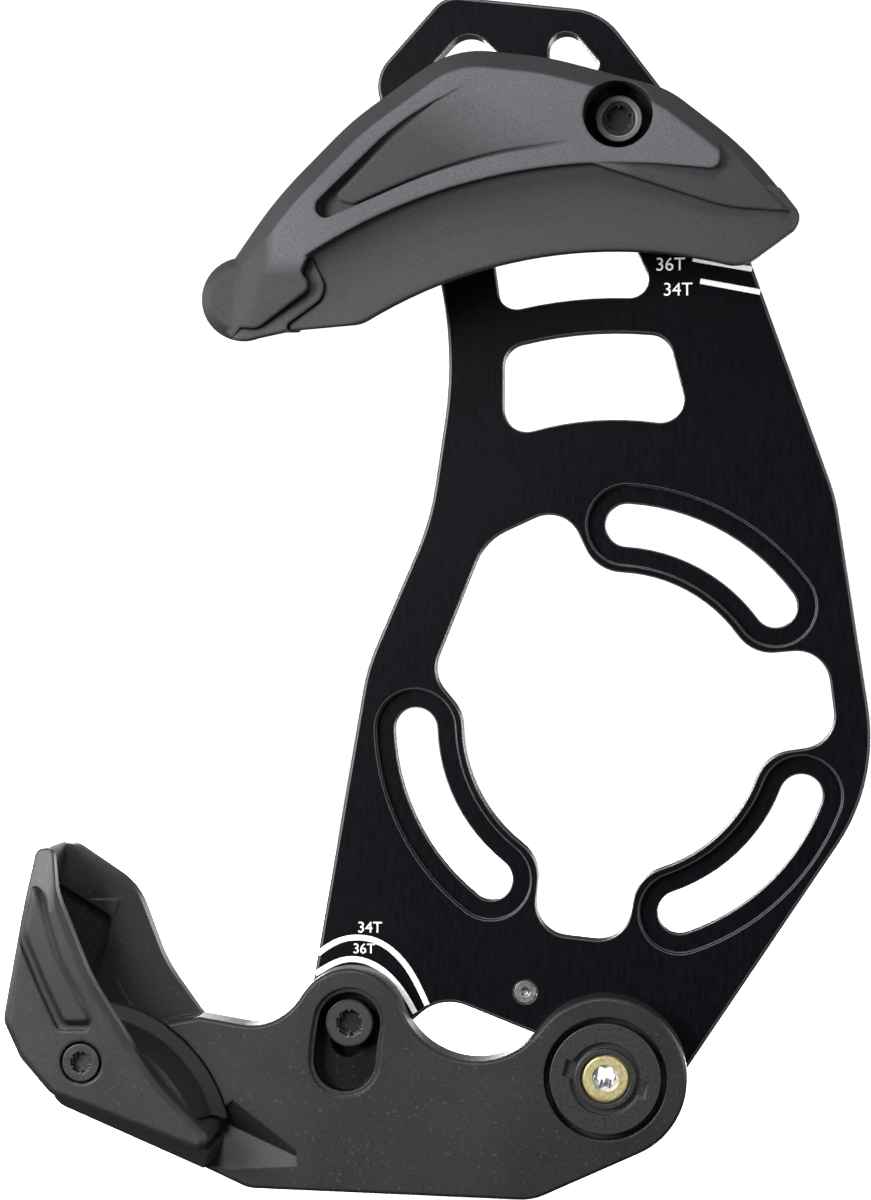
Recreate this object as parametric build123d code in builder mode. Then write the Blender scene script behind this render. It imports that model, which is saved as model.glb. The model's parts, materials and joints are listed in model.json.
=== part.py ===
from build123d import *
import os
from math import acos, atan2, cos, degrees, dist, hypot, pi, radians, sin, tan

os.makedirs("parts", exist_ok=True)

# Frame: the origin is the crank axis on the frame-side face of the back plate. +X points to the
# front wheel and +Z up. A depth is measured outward from that face, along -Y, so the outer side
# of the chain guide has the large depths. All lengths are millimetres.

# Chain and chainring that the guide is set for
chain_pitch = 12.7
ring_teeth = 36
chain_space = 11.0
skirt_cover = 4.8
inner_cheek_cover = 2.2
roof_room = 7.4

# Clearances
slide_gap = 0.3
seat_gap = 0.05
seam_gap = 0.3

# Back plate
plate_thickness = 4.0
plate_edge_break = 0.3
bolt_circle_radius = 29.5
mount_slot_width = 6.4
mount_slot_sweep = 50.0
mount_slot_angles = (61.25, 206.7, 314.1)
mount_recess_margin = 2.8
mount_recess_depth = 1.4
opening_wall = 3.85
opening_blend = 6.0
plate_heel = (39.0, -8.4)
plate_rear = (-36.7, 8.3)
stop_pin_centre = (-13.1, -39.7)
stop_pin_radius = 1.65
stop_pin_dimple = 0.7

# Pivot of the lower arm
pivot = (-1.1, -51.5)
pivot_leg_radius = 9.45
pivot_boss_radius = 11.9
pivot_flange_radius = 8.1
pivot_flange_margin = 0.9
pivot_flange_thickness = 2.2
pivot_dish_margin = 2.8
pivot_dish_depth = 0.9
pivot_collar_wall = 0.8
pivot_hub_wall = 2.0
pivot_nut_wall = 0.95
pivot_nut_lip = 0.8
pivot_nut_sink = 0.5
pivot_bolt_radius = 2.6
pivot_bolt_head_radius = 5.0
pivot_bolt_head_thickness = 1.6
pivot_drive_radius = 1.75
pivot_nut_overlap = 0.7
pivot_notch_turn = 15.0
pivot_notch_reach = 0.9
pivot_notch_width = 2.4

# Clamp screw and its arc slot in the lower arm
clamp = (-38.7, -43.9)
clamp_leg_radius = 6.85
clamp_boss_radius = 8.05
clamp_swing = 4.4
clamp_slot_room = 0.5
clamp_well_width = 10.6
clamp_well_swing = 8.2
clamp_well_depth = 3.4
clamp_well_ledge = 0.7
clamp_well_ledge_depth = 0.6
clamp_screw_radius = 2.0
clamp_head_radius = 3.5
clamp_head_height = 2.6

# Lower arm
arm_cover = 6.0
arm_back_gap = 0.5
arm_skin = 2.6
arm_edge_break = 0.4
arm_rib = 1.8
wall_pocket_depth = 1.2
wall_bend = (-78.0, -26.2)
wall_bend_fall = (0.11, 0.224)
wall_bend_reach = 15.0
wall_flare = (-74.5, -33.0)
wall_flare_fall = (0.2, 0.03)
ledge_fall = (-0.74, -1.9)
recess_foot = (-53.0, -65.3)
recess_fall = (-0.035, 0.55)
recess_brow = (-50.5, -59.5)
recess_brow_fall = (-0.52, -0.67)
arm_heel = (-11.7, -69.4)
arm_tail = (-82.3, -55.3)
channel_wall = 4.5
channel_floor = [(-95.0, -49.2), (-58.6, -61.8), (-54.0, -59.4), (-50.0, -59.0)]
dip_corner = (-23.6, -61.1)
dip_share = 0.97
arm_neck = (-49.4, -45.15)

# Cheeks of both guides
inner_wall = 3.5
outer_wall = 2.6
face_height = 1.9
bevel_width = 3.1
bevel_drop = 3.5
cove_sag = 1.0
cove_margin = 0.5
cove_start = 70.0
cove_end = 131.0
roof_wall = 2.4
roof_rib = 1.6
lip_corner = 5.0
tail_lobe_place = (-52.9, -11.2)
tail_lobe_radius = 6.0
tail_lobe_bevel = 1.5
ridge_top = (-47.8, -4.6)
ridge_fall = (-0.08, -0.1)
ridge_side_fall = (-0.326, 0.011)
terrace_start = (-3.0, 7.5)
terrace_fall = 0.08
pocket_fall = 0.05
trench_fall = 0.1
pocket_groove = 0.5

# Upper guide bolt, placed by its height over the top of the chainring
guide_bolt_x = 1.1
guide_bolt_rise = 14.4
guide_travel = 4.0
guide_bolt_radius = 2.0
guide_head_radius = 3.4
guide_head_height = 4.0
guide_head_sink = 5.5
guide_head_dish_radius = 2.5
guide_head_dish_depth = 0.5
guide_counterbore_margin = 1.55
guide_boss_wall = 1.6
guide_sleeve_wall = 1.0
guide_nut_neck_wall = 1.1
guide_nut_flange_margin = 1.4
guide_nut_flange = 1.6

# Chain slider and cover of the lower guide
slider_crest = (-62.7, -47.3)
slider_crest_angle = 45.0
slider_radius = 22.0
slider_rim = 2.0
slider_rim_height = 1.8
slider_fall = 1.3
cover_tip = (-53.4, -63.0)
cover_heel = (-80.7, -53.0)
cover_edge = (-85.9, -36.0)
cover_edge_fall = (-0.35, 0.02)
cover_neck = (-80.3, -26.6)
cover_neck_fall = (-0.1, 0.2)
cover_facet = 10.0
cover_wall = 2.2
cover_front_wall = 3.2
cover_bevel = 0.8
cover_rib_height = 1.0
cover_rib_draft = 30.0
cover_groove = 0.7
cover_groove_depth = 0.6
cover_screw_head_margin = 0.35
cover_screw = (-76.2, -48.3)
cover_screw_radius = 1.5
cover_screw_head_radius = 2.7
cover_screw_head_height = 1.8
cover_screw_length = 9.0
cover_insert_wall = 0.8
cover_insert_length = 6.0
cover_boss_wall = 1.4

# Drive recesses of the screws
drive_share = 0.54
drive_root_share = 0.76
drive_depth = 1.5


def layer(depth):
    """Sketch plane parallel to the back plate, at this depth."""
    return Plane.XZ.offset(depth)


def tilted_layer(x, z, depth, slope_x, slope_z):
    """Sketch plane through a point, whose depth falls by the slopes along X and Z."""
    return Plane(origin=(x, -depth, z), x_dir=(1, slope_x, 0), z_dir=(slope_x, -1, slope_z))


def turning_plane(centre, angle):
    """Sketch plane through an axis across the plate: local x is the radius, local y the depth."""
    run, rise = cos(radians(angle)), sin(radians(angle))
    return Plane(origin=(centre[0], 0, centre[1]), x_dir=(run, 0, rise), z_dir=(rise, 0, -run))


def around(centre, radius, angle):
    """Point on a circle."""
    return (centre[0] + radius * cos(radians(angle)), centre[1] + radius * sin(radians(angle)))


def over_ring(corners):
    """Corners given by their height over the top of the chainring."""
    return [(x, ring_radius + rise, *radius) for x, rise, *radius in corners]


def tangent_point(outside, centre, radius, side):
    """Where the line from a point touches a circle, on its left (1) or its right (-1)."""
    dx, dz = outside[0] - centre[0], outside[1] - centre[1]
    turn = atan2(dz, dx) + side * acos(radius / hypot(dx, dz))
    return (centre[0] + radius * cos(turn), centre[1] + radius * sin(turn))


def turn_between(corner, first, second):
    """Angle in radians at a corner between the lines to two points, up to a half turn."""
    start, end = (atan2(point[1] - corner[1], point[0] - corner[0]) for point in (first, second))
    return acos(cos(end - start))


def outline(corners, mode=Mode.ADD):
    """Adds a closed outline to the sketch in hand, from corners of x, z and radius."""
    with BuildLine() as edge:
        FilletPolyline(*[(x, z) for x, z, _ in corners], radius=[r for _, _, r in corners], close=True)
    make_face(edge.line, mode=mode)


def disc(centre, radius, mode=Mode.ADD):
    """Adds a round face to the sketch in hand."""
    with Locations(centre):
        Circle(radius, mode=mode)


def arc_slot(centre, start, angle, width, mode=Mode.ADD):
    """Adds a slot along an arc about a centre, from a start point through an angle."""
    radius = hypot(start[0] - centre[0], start[1] - centre[1])
    first = degrees(atan2(start[1] - centre[1], start[0] - centre[0]))
    with BuildLine() as middle:
        CenterArc(centre, radius, min(first, first + angle), abs(angle))
    SlotArc(middle.edge(), width, mode=mode)


def hexalobe(centre, radius, mode=Mode.ADD):
    """Adds a six-lobed drive shape to the sketch in hand."""
    root = drive_root_share * radius
    disc(centre, root, mode)
    for lobe in range(6):
        disc(around(centre, root, 60 * lobe), radius - root, mode)


def cylinder(centre, radius, start, end, mode=Mode.ADD):
    """Adds a round bar across the plate's faces between two depths to the part in hand."""
    with BuildSketch(layer(start)) as profile:
        disc(centre, radius)
    extrude(profile.sketch, amount=end - start, mode=mode)


def socket_screw(centre, tip, seat, shank_radius, head_radius, head_height):
    """Makes a screw with a cylinder head and a six-pointed recess in the part in hand."""
    cylinder(centre, shank_radius, tip, seat)
    cylinder(centre, head_radius, seat, seat + head_height)
    drive_radius = drive_share * head_radius
    with BuildSketch(layer(seat + head_height)) as recess:
        with Locations(centre):
            for turn in (0, 60, 120):
                Rectangle(2 * drive_radius, drive_root_share * drive_radius, rotation=turn)
    extrude(recess.sketch, amount=-drive_depth, mode=Mode.SUBTRACT)


# Sizes that follow from those above
ring_radius = chain_pitch / (2 * sin(pi / ring_teeth))
skirt_radius = ring_radius - skirt_cover
roof_radius = ring_radius + roof_room
opening_radius = bolt_circle_radius - mount_slot_width / 2 - opening_wall
plate_front = plate_thickness
inner_front = plate_front + inner_wall
cheek_back = inner_front + chain_space
cheek_front = cheek_back + outer_wall
face_front = cheek_front + face_height
arm_front = plate_front + arm_cover
guide_bolt = (guide_bolt_x, ring_radius + guide_bolt_rise)
tail_lobe = (tail_lobe_place[0], ring_radius + tail_lobe_place[1])
guide_head_seat = face_front - guide_head_sink - guide_head_height
guide_nut_neck_radius = guide_bolt_radius + guide_nut_neck_wall
guide_nut_flange_radius = guide_nut_neck_radius + guide_nut_flange_margin
guide_sleeve_radius = guide_bolt_radius + seat_gap + guide_sleeve_wall
guide_counterbore_radius = guide_head_radius + guide_counterbore_margin
pivot_nut_radius = pivot_bolt_radius + seat_gap + pivot_nut_wall
pivot_hub_radius = pivot_nut_radius + seat_gap + pivot_hub_wall
clamp_seat = arm_front - clamp_well_depth
slider_centre = around(slider_crest, slider_radius, slider_crest_angle + 180)
dip_to_pivot = tangent_point(dip_corner, pivot, pivot_boss_radius, -1)
dip_to_clamp = tangent_point(dip_corner, clamp, clamp_boss_radius, 1)
dip_angle = turn_between(dip_corner, dip_to_pivot, dip_to_clamp)
dip_room = min(dist(dip_corner, dip_to_pivot), dist(dip_corner, dip_to_clamp))
dip_radius = dip_share * dip_room * tan(dip_angle / 2)
cover_front = cheek_back + cover_front_wall
screw_seat = cover_front - cover_screw_head_height
screw_tip = screw_seat - cover_screw_length
insert_radius = cover_screw_radius + seat_gap + cover_insert_wall
cover_boss_radius = insert_radius + seat_gap + cover_boss_wall

# Back plate: flat outline with two legs for the arm, a lobed opening round the crank shell, arc
# slots for the frame bolts, arched windows and the slot that the upper guide slides in
with BuildSketch() as plate_face:
    outline([
        *over_ring([(-25.1, 35.2, 4.5), (-1.7, 32.5, 9.5), (14.4, 11.2, 40.0)]),
        (32.6, 33.3, 25.0),
        (*plate_heel, 29.0),
        (*tangent_point(plate_heel, pivot, pivot_leg_radius, -1), 0),
        (*around(pivot, pivot_leg_radius, 150), 0),
        (-25.6, -40.4, 6.5),
        (*around(clamp, clamp_leg_radius, -20), 0),
        (*tangent_point(plate_rear, clamp, clamp_leg_radius, 1), 0),
        (*plate_rear, 27.0),
        (-27.3, 30.2, 38.0),
        *over_ring([(-23.0, -13.9, 58.0), (-35.9, 23.1, 5.7)]),
    ])
    disc(pivot, pivot_leg_radius)
    disc(clamp, clamp_leg_radius)

front_lobe = [(30.0, -2.4, 0), (19.8, 10.7, 5.0), (-5.0, 10.7, 5.0), (-14.1, -2.4, 0)]
lower_lobe = [(-78.7, -2.4, 0), (-86.9, 10.1, 5.0), (-111.2, 10.8, 5.0), (-122.0, -2.4, 0)]
rear_lobe = [(179.1, -1.0, 0), (165.0, 5.7, 5.0), (125.3, 10.8, 8.5), (102.6, 11.0, 5.0), (94.0, -2.4, 0)]
with BuildSketch() as crank_opening:
    Circle(opening_radius)
    for lobe in (front_lobe, lower_lobe, rear_lobe):
        outline([(*around((0, 0), opening_radius + reach, angle), r) for angle, reach, r in lobe])
    blends = crank_opening.vertices().filter_by(lambda v: abs(hypot(v.X, v.Y) - opening_radius) < 0.01)
    fillet(blends, opening_blend)


def arched_window(inner, outer, sides, radius):
    """Adds a window between two arcs about the crank axis and two straight sides."""
    with BuildSketch() as window:
        Circle(outer)
        Circle(inner, mode=Mode.SUBTRACT)
        Polygon(*over_ring(sides), align=None, mode=Mode.INTERSECT)
        fillet(window.vertices(), radius)
    add(window.sketch)


with BuildPart() as back_plate:
    with BuildSketch(layer(0)):
        add(plate_face.sketch)
        add(crank_opening.sketch, mode=Mode.SUBTRACT)
    extrude(amount=plate_thickness)
    front_rim = back_plate.faces().sort_by(Axis.Y)[0].outer_wire().edges()
    chamfer(front_rim, plate_edge_break)
    with BuildSketch(layer(0)):
        arched_window(ring_radius - 27.9, ring_radius - 14.9,
                      [(-16.35, -33.0), (12.5, -33.0), (6.9, -11.0), (-16.35, -11.0)], 3.5)
        arched_window(ring_radius - 9.9, ring_radius + 3.1,
                      [(-16.6, -12.9), (8.1, -12.9), (-1.3, 7.1), (-19.4, 7.1)], 2.8)
        outline(over_ring([(-21.5, 30.8, 3.5), (-12.3, 21.6, 2.5), (-30.1, 21.6, 2.5)]))
        outline(over_ring([(-9.65, 29.4, 2.5), (-5.9, 29.4, 2.5), (-1.4, 24.1, 1.2), (-9.65, 20.6, 2.0)]))
        for middle in mount_slot_angles:
            first = around((0, 0), bolt_circle_radius, middle - mount_slot_sweep / 2)
            arc_slot((0, 0), first, mount_slot_sweep, mount_slot_width)
        with Locations(guide_bolt):
            SlotCenterToCenter(2 * guide_travel, 2 * (guide_nut_neck_radius + seat_gap), rotation=90)
        disc(pivot, pivot_bolt_radius + seat_gap)
        disc(clamp, clamp_screw_radius + seat_gap)
        disc(stop_pin_centre, stop_pin_radius + seat_gap)
    extrude(amount=plate_thickness, mode=Mode.SUBTRACT)
    with BuildSketch(layer(plate_front)):
        for middle in mount_slot_angles:
            first = around((0, 0), bolt_circle_radius, middle - mount_slot_sweep / 2)
            arc_slot((0, 0), first, mount_slot_sweep, mount_slot_width + 2 * mount_recess_margin)
    extrude(amount=-mount_recess_depth, mode=Mode.SUBTRACT)
    with BuildSketch(layer(0)):
        with Locations(guide_bolt):
            SlotCenterToCenter(2 * guide_travel, 2 * (guide_nut_flange_radius + slide_gap), rotation=90)
    extrude(amount=guide_nut_flange + seat_gap, mode=Mode.SUBTRACT)
    cylinder(pivot, pivot_bolt_head_radius + seat_gap, 0, pivot_bolt_head_thickness, Mode.SUBTRACT)

with BuildPart() as stop_pin:
    cylinder(stop_pin_centre, stop_pin_radius, 0, plate_front)
    with BuildSketch(layer(plate_front)):
        disc(stop_pin_centre, stop_pin_dimple)
    extrude(amount=-stop_pin_dimple / 2, taper=45, mode=Mode.SUBTRACT)

# Pivot of the arm: a black flange with a hub through the arm, a brass nut in it and the bolt that
# comes through the plate from the frame side
flange_back = arm_front - pivot_flange_thickness
nut_front = arm_front - pivot_nut_sink
with BuildPart() as pivot_flange:
    cylinder(pivot, pivot_hub_radius, plate_front, flange_back)
    cylinder(pivot, pivot_flange_radius, flange_back, arm_front)
    dish_radius = pivot_flange_radius - pivot_dish_margin
    with BuildSketch(layer(arm_front)):
        disc(pivot, dish_radius)
        disc(pivot, pivot_nut_radius + pivot_collar_wall, Mode.SUBTRACT)
        with Locations(pivot):
            with PolarLocations(dish_radius, 2, start_angle=-pivot_notch_turn):
                Rectangle(2 * pivot_notch_reach, pivot_notch_width)
    extrude(amount=-pivot_dish_depth, mode=Mode.SUBTRACT)
    cylinder(pivot, pivot_nut_radius + seat_gap, plate_front, arm_front, Mode.SUBTRACT)

with BuildPart() as pivot_nut:
    cylinder(pivot, pivot_nut_radius, plate_front, nut_front)
    chamfer(pivot_nut.edges().sort_by(Axis.Y)[0], pivot_nut_lip / 2)
    cylinder(pivot, pivot_bolt_radius + seat_gap, plate_front, nut_front - pivot_nut_lip, Mode.SUBTRACT)
    cylinder(pivot, pivot_bolt_radius - pivot_nut_overlap, plate_front, nut_front, Mode.SUBTRACT)

with BuildPart() as pivot_bolt:
    cylinder(pivot, pivot_bolt_head_radius, 0, pivot_bolt_head_thickness)
    cylinder(pivot, pivot_bolt_radius, 0, nut_front - pivot_nut_lip)
    with BuildSketch(layer(0)):
        hexalobe(pivot, pivot_drive_radius)
    extrude(amount=nut_front, mode=Mode.SUBTRACT)

with BuildPart() as arm_clamp_screw:
    socket_screw(clamp, arm_back_gap, clamp_seat, clamp_screw_radius, clamp_head_radius, clamp_head_height)

# Lower guide cover: front cheek over the chain slider, with a wall along its rear and lower edge
# that stands on the arm, a raised rib and one screw
with BuildSketch() as cover_face:
    outline([
        (-83.1, -17.8, 1.2), (-80.6, -17.4, 1.2), (-79.9, -24.0, 10.0), (-74.9, -36.4, 30.0),
        (-65.5, -51.1, 30.0), (*cover_tip, 1.5), (*cover_heel, 3.0), (-85.2, -47.8, 3.0),
        (-87.7, -42.4, 3.0), (-85.1, -28.0, 30.0),
    ])

with BuildSketch() as cover_rib:
    outline([
        (-83.4, -22.4, 0.6), (-81.5, -24.0, 1.0), (-79.0, -32.6, 20.0), (-74.2, -41.4, 1.0),
        (-74.6, -43.0, 0.6), (-78.9, -43.0, 1.0), (-81.6, -37.4, 6.0), (-84.7, -30.0, 3.0),
    ])

with BuildPart() as lower_guide_cover:
    with BuildSketch(layer(cheek_back)):
        add(cover_face.sketch)
    extrude(amount=cover_front_wall)
    chamfer(lower_guide_cover.faces().sort_by(Axis.Y)[0].outer_wire().edges(), cover_bevel)
    with BuildSketch(tilted_layer(*cover_edge, cover_front, *cover_edge_fall)):
        Rectangle(cover_facet, 4 * cover_facet, align=(Align.MAX, Align.CENTER))
    extrude(amount=cover_front_wall, mode=Mode.SUBTRACT)
    with BuildSketch(tilted_layer(*cover_neck, cover_front, *cover_neck_fall)):
        Rectangle(cover_facet, 2 * cover_facet, align=(Align.CENTER, Align.MIN))
    extrude(amount=cover_front_wall, mode=Mode.SUBTRACT)
    with BuildSketch(layer(cover_front)):
        with Locations((-cover_groove, -cover_groove)):
            add(cover_rib.sketch)
    extrude(amount=-cover_groove_depth, mode=Mode.SUBTRACT)
    with BuildSketch(layer(cover_front - cover_groove_depth)):
        add(cover_rib.sketch)
    extrude(amount=cover_groove_depth + cover_rib_height, taper=cover_rib_draft)
    with BuildSketch(layer(inner_front)):
        add(cover_face.sketch)
        with Locations((cover_wall, cover_wall)):
            add(cover_face.sketch, mode=Mode.SUBTRACT)
        disc(cover_screw, cover_boss_radius + seat_gap, Mode.SUBTRACT)
    extrude(amount=chain_space)
    cylinder(cover_screw, cover_screw_radius + seat_gap, cheek_back, cover_front, Mode.SUBTRACT)
    head_bore = cover_screw_head_radius + cover_screw_head_margin
    cylinder(cover_screw, head_bore, screw_seat, cover_front, Mode.SUBTRACT)

# Recess in the arm at the end of the slider: shallow floor and one sloped wall
with BuildPart() as slider_recess:
    with BuildSketch(tilted_layer(*recess_foot, arm_front, *recess_fall)):
        outline([
            (-7.4, 0.4, 0), (-5.4, 7.0, 0), (-1.6, 9.6, 1.0), (6.6, 3.0, 2.0), (6.6, 0.2, 0.5),
            (-3.0, -0.2, 0.5),
        ])
    extrude(amount=arm_cover)
    split(bisect_by=tilted_layer(*recess_brow, arm_front, *recess_brow_fall), keep=Keep.TOP)

# Ledge of the arm under the cover, sloped from the cover's lower edge to the arm's own
with BuildPart() as cover_ledge:
    with BuildSketch(layer(inner_front)):
        outline([
            (*cover_heel, 0), (-57.6, -61.0, 0), (-60.2, -65.4, 0), (*arm_tail, 2.0),
        ])
        with Locations((-seat_gap, -seat_gap)):
            add(cover_face.sketch, mode=Mode.SUBTRACT)
        add(cover_face.sketch, mode=Mode.SUBTRACT)
    extrude(amount=chain_space)
    split(bisect_by=tilted_layer(*cover_heel, cheek_back, *ledge_fall), keep=Keep.BOTTOM)

# Lower arm: flat lever on the pivot, with the clamp slot in a deep well, the inner wall of the
# chain channel, the boss for the cover screw and a ribbed back
with BuildPart() as lower_arm:
    with BuildSketch(layer(plate_front)):
        outline([
            (*arm_heel, 8.0),
            (*tangent_point(arm_heel, pivot, pivot_boss_radius, 1), 0),
            (*dip_to_pivot, 0),
            (*dip_corner, dip_radius),
            (*dip_to_clamp, 0),
            (*tangent_point(arm_neck, clamp, clamp_boss_radius, -1), 0),
            (*arm_neck, 8.5),
            (-60.8, -43.2, 0), (-70.0, -45.0, 0),
            (*arm_tail, 2.5), (-53.6, -68.3, 5.0),
        ])
        disc(pivot, pivot_boss_radius)
        disc(clamp, clamp_boss_radius)
    extrude(amount=arm_cover)
    chamfer(lower_arm.faces().sort_by(Axis.Y)[0].outer_wire().edges(), arm_edge_break)
    with BuildSketch(layer(inner_front)):
        outline([
            (-61.0, -43.6, 2.5), (-66.6, -35.8, 20.0), (-71.0, -24.2, 10.0), (-82.0, -16.9, 4.0),
            (-86.6, -21.0, 3.0), (-88.0, -41.0, 8.0), (-88.0, -49.2, 1.5), (*arm_tail, 2.5),
            (-54.0, -66.0, 0), (-52.0, -46.0, 0),
        ])
    extrude(amount=-channel_wall)
    with BuildSketch(layer(arm_back_gap)) as back_block:
        outline([
            (-14.5, -69.0, 2.5), (-14.5, -64.2, 2.0), (-30.5, -57.0, 6.0), (-45.8, -57.0, 4.0),
            (-50.5, -46.5, 2.0), (-60.8, -44.2, 0), (-66.0, -47.0, 0), (*arm_tail, 2.5),
            (-53.6, -68.3, 5.0),
        ])
    extrude(amount=plate_front - arm_back_gap)
    with BuildSketch(layer(inner_front)):
        disc(slider_centre, slider_radius + slide_gap)
        Polygon(*channel_floor, (-50.0, -40.0), (-95.0, -40.0), align=None, mode=Mode.INTERSECT)
    extrude(amount=arm_cover, mode=Mode.SUBTRACT)
    with BuildSketch(tilted_layer(*wall_bend, inner_front, *wall_bend_fall)):
        Rectangle(2 * wall_bend_reach, wall_bend_reach, align=(Align.CENTER, Align.MIN))
    extrude(amount=channel_wall, mode=Mode.SUBTRACT)
    with BuildSketch(tilted_layer(*wall_flare, inner_front, *wall_flare_fall)):
        Polygon((1.7, 9.0), (-1.0, -1.5), (4.5, -12.0), (14.0, -9.9), (14.0, 12.0), align=None)
    extrude(amount=channel_wall, mode=Mode.SUBTRACT)
    with BuildSketch(layer(inner_front)):
        outline([
            (-88.0, -20.5, 0), (-74.4, -28.7, 0.8), (-75.2, -33.0, 5.0), (-77.0, -38.5, 1.0),
            (-88.0, -36.0, 0),
        ])
    extrude(amount=-wall_pocket_depth, mode=Mode.SUBTRACT)
    add(slider_recess.part, mode=Mode.SUBTRACT)
    add(cover_ledge.part)
    for width, depth in (
        (clamp_well_width, clamp_well_ledge_depth),
        (clamp_well_width - 2 * clamp_well_ledge, clamp_well_depth),
    ):
        with BuildSketch(layer(arm_front)):
            arc_slot(pivot, clamp, clamp_well_swing, width)
        extrude(amount=-depth, mode=Mode.SUBTRACT)
    with BuildSketch(layer(plate_front)):
        arc_slot(pivot, clamp, clamp_swing, 2 * (clamp_screw_radius + clamp_slot_room))
        disc(pivot, pivot_hub_radius + slide_gap)
    extrude(amount=arm_cover, mode=Mode.SUBTRACT)
    cylinder(pivot, pivot_flange_radius + pivot_flange_margin, flange_back, arm_front, Mode.SUBTRACT)
    with BuildSketch(layer(arm_back_gap)):
        add(back_block.sketch)
        offset(amount=-arm_skin)
        Polygon((-56.0, -40.0), (-10.0, -40.0), (-10.0, -80.0), (-56.0, -80.0), align=None,
                mode=Mode.INTERSECT)
        with Locations((-47.0, -60.0), (-33.0, -60.0)):
            Rectangle(arm_rib, 40.0, mode=Mode.SUBTRACT)
    extrude(amount=clamp_seat - arm_back_gap - arm_skin / 2, mode=Mode.SUBTRACT)
    cylinder(cover_screw, cover_boss_radius, inner_front, cheek_back)
    cylinder(cover_screw, insert_radius + seat_gap, cheek_back - cover_insert_length, cheek_back,
             Mode.SUBTRACT)
    cylinder(cover_screw, cover_screw_radius + seat_gap, screw_tip, cheek_back, Mode.SUBTRACT)

with BuildPart() as lower_guide_insert:
    cylinder(cover_screw, insert_radius, cheek_back - cover_insert_length, cheek_back)
    cylinder(cover_screw, cover_screw_radius + seat_gap, screw_tip, cheek_back, Mode.SUBTRACT)

with BuildPart() as lower_guide_screw:
    socket_screw(cover_screw, screw_tip, screw_seat, cover_screw_radius, cover_screw_head_radius,
                 cover_screw_head_height)

# Chain slider: turned running surface with a rim beside the arm, cut to the room inside the cover
with BuildPart() as chain_slider:
    slider_back = inner_front + seat_gap
    slider_front = cheek_back - seat_gap
    turning = turning_plane(slider_centre, 0)
    run_radius = slider_radius - slider_rim
    with BuildSketch(turning):
        Polygon(
            (0, slider_back), (slider_radius, slider_back),
            (slider_radius, slider_back + slider_rim_height),
            (run_radius, slider_back + slider_rim_height + slider_rim / 2),
            (run_radius - slider_fall, slider_front), (0, slider_front), align=None,
        )
    revolve(axis=Axis(turning.origin, (0, -1, 0)))
    with BuildSketch(layer(inner_front)):
        with Locations((cover_wall + slide_gap, cover_wall + slide_gap)):
            add(cover_face.sketch)
        Polygon((-75.0, -49.5), (-56.5, -57.6), (-50.0, -40.0), (-72.0, -30.0), align=None)
        disc(cover_screw, cover_boss_radius + seat_gap, Mode.SUBTRACT)
    extrude(amount=chain_space, mode=Mode.INTERSECT)

# Top edge of the upper guide, from the rear lobe to the front tip
guide_top = [
    (-48.1, 3.3, 60.0), (-37.1, 14.3, 40.0), (-22.6, 24.6, 14.0), (-9.0, 23.0, 40.0), (8.1, 18.3, 14.0),
    (19.3, 9.5, 50.0),
]


def guide_side(lip):
    """Adds the side view of the upper guide, cut to this radius about the crank axis."""
    with BuildSketch() as side:
        outline(over_ring([
            (-54.3, -5.6, 0), *guide_top, (27.7, -0.9, 2.3),
            (17.5, -8.3, 0), (0.0, -13.0, 0), (-28.0, -18.0, 0), (-33.0, -14.7, 0), (-46.5, -15.8, 3.0),
            (-50.5, -17.6, 0), (-52.0, -10.0, 0),
        ]))
        disc(tail_lobe, tail_lobe_radius)
        Circle(lip, mode=Mode.SUBTRACT)
        fillet(side.vertices().filter_by(lambda v: abs(hypot(v.X, v.Y) - lip) < 0.01), lip_corner)
    add(side.sketch)


# Seam between the two halves of the upper guide, round the hook that closes the rear end of the channel
hook_seam = [
    (-54.4, -16.8, 0), (-53.0, -15.4, 0), (-50.6, -15.6, 2.0), (-42.6, -9.8, 1.4), (-44.2, -7.6, 0.8),
    (-43.2, -5.5, 0),
]
with BuildSketch() as hook_zone:
    outline(over_ring([
        *hook_seam, (-42.5, -5.5, 0), (-40.2, -10.7, 3.0), (-46.2, -15.0, 0.5), (-46.2, -20.0, 0),
        (-54.6, -20.0, 0),
    ]))

# Crown of the outer half: it ends on the roof circle, except for a ridge down to the seam at the rear
# and a terrace at the front
with BuildSketch() as crown:
    outline(over_ring([
        (-54.3, -5.6, 0), *guide_top, (27.7, -0.9, 3.6), (20.0, -9.0, 0), (-38.0, -14.0, 0),
        (-50.0, -26.0, 0), (-58.0, -26.0, 0),
    ]))

with BuildSketch() as below_crown:
    Circle(roof_radius)
    outline(over_ring([*hook_seam, (-60.0, -4.0, 0), (-57.5, -14.0, 0)]), Mode.SUBTRACT)
    outline(over_ring([(*terrace_start, 0), (16.2, 1.2, 20.0), (28.0, 0.2, 0), (28.0, 12.0, 0)]),
            Mode.SUBTRACT)

# Pocket in the raised face: its floor fades out along a line from the peak, falling to the rear tip,
# where a deeper trench runs round it
pocket_peak = (-20.4, 19.3)
pocket_fade_end = (-4.2, 10.4)
pocket_tip = (-47.4, -2.9, 1.5)
pocket_top = (-30.5, 13.3, 35.0)
face_pocket = [
    pocket_tip, pocket_top, (-19.6, 19.3, 0.6), (-3.0, 10.4, 0.2), (-16.0, 8.8, 50.0), (-26.0, 6.1, 80.0),
]
pocket_trench = [
    pocket_tip, pocket_top, (-24.0, 17.0, 0), (-31.0, 11.6, 30.0), (-39.8, 2.8, 0.9), (-36.0, 1.9, 0),
]

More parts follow.
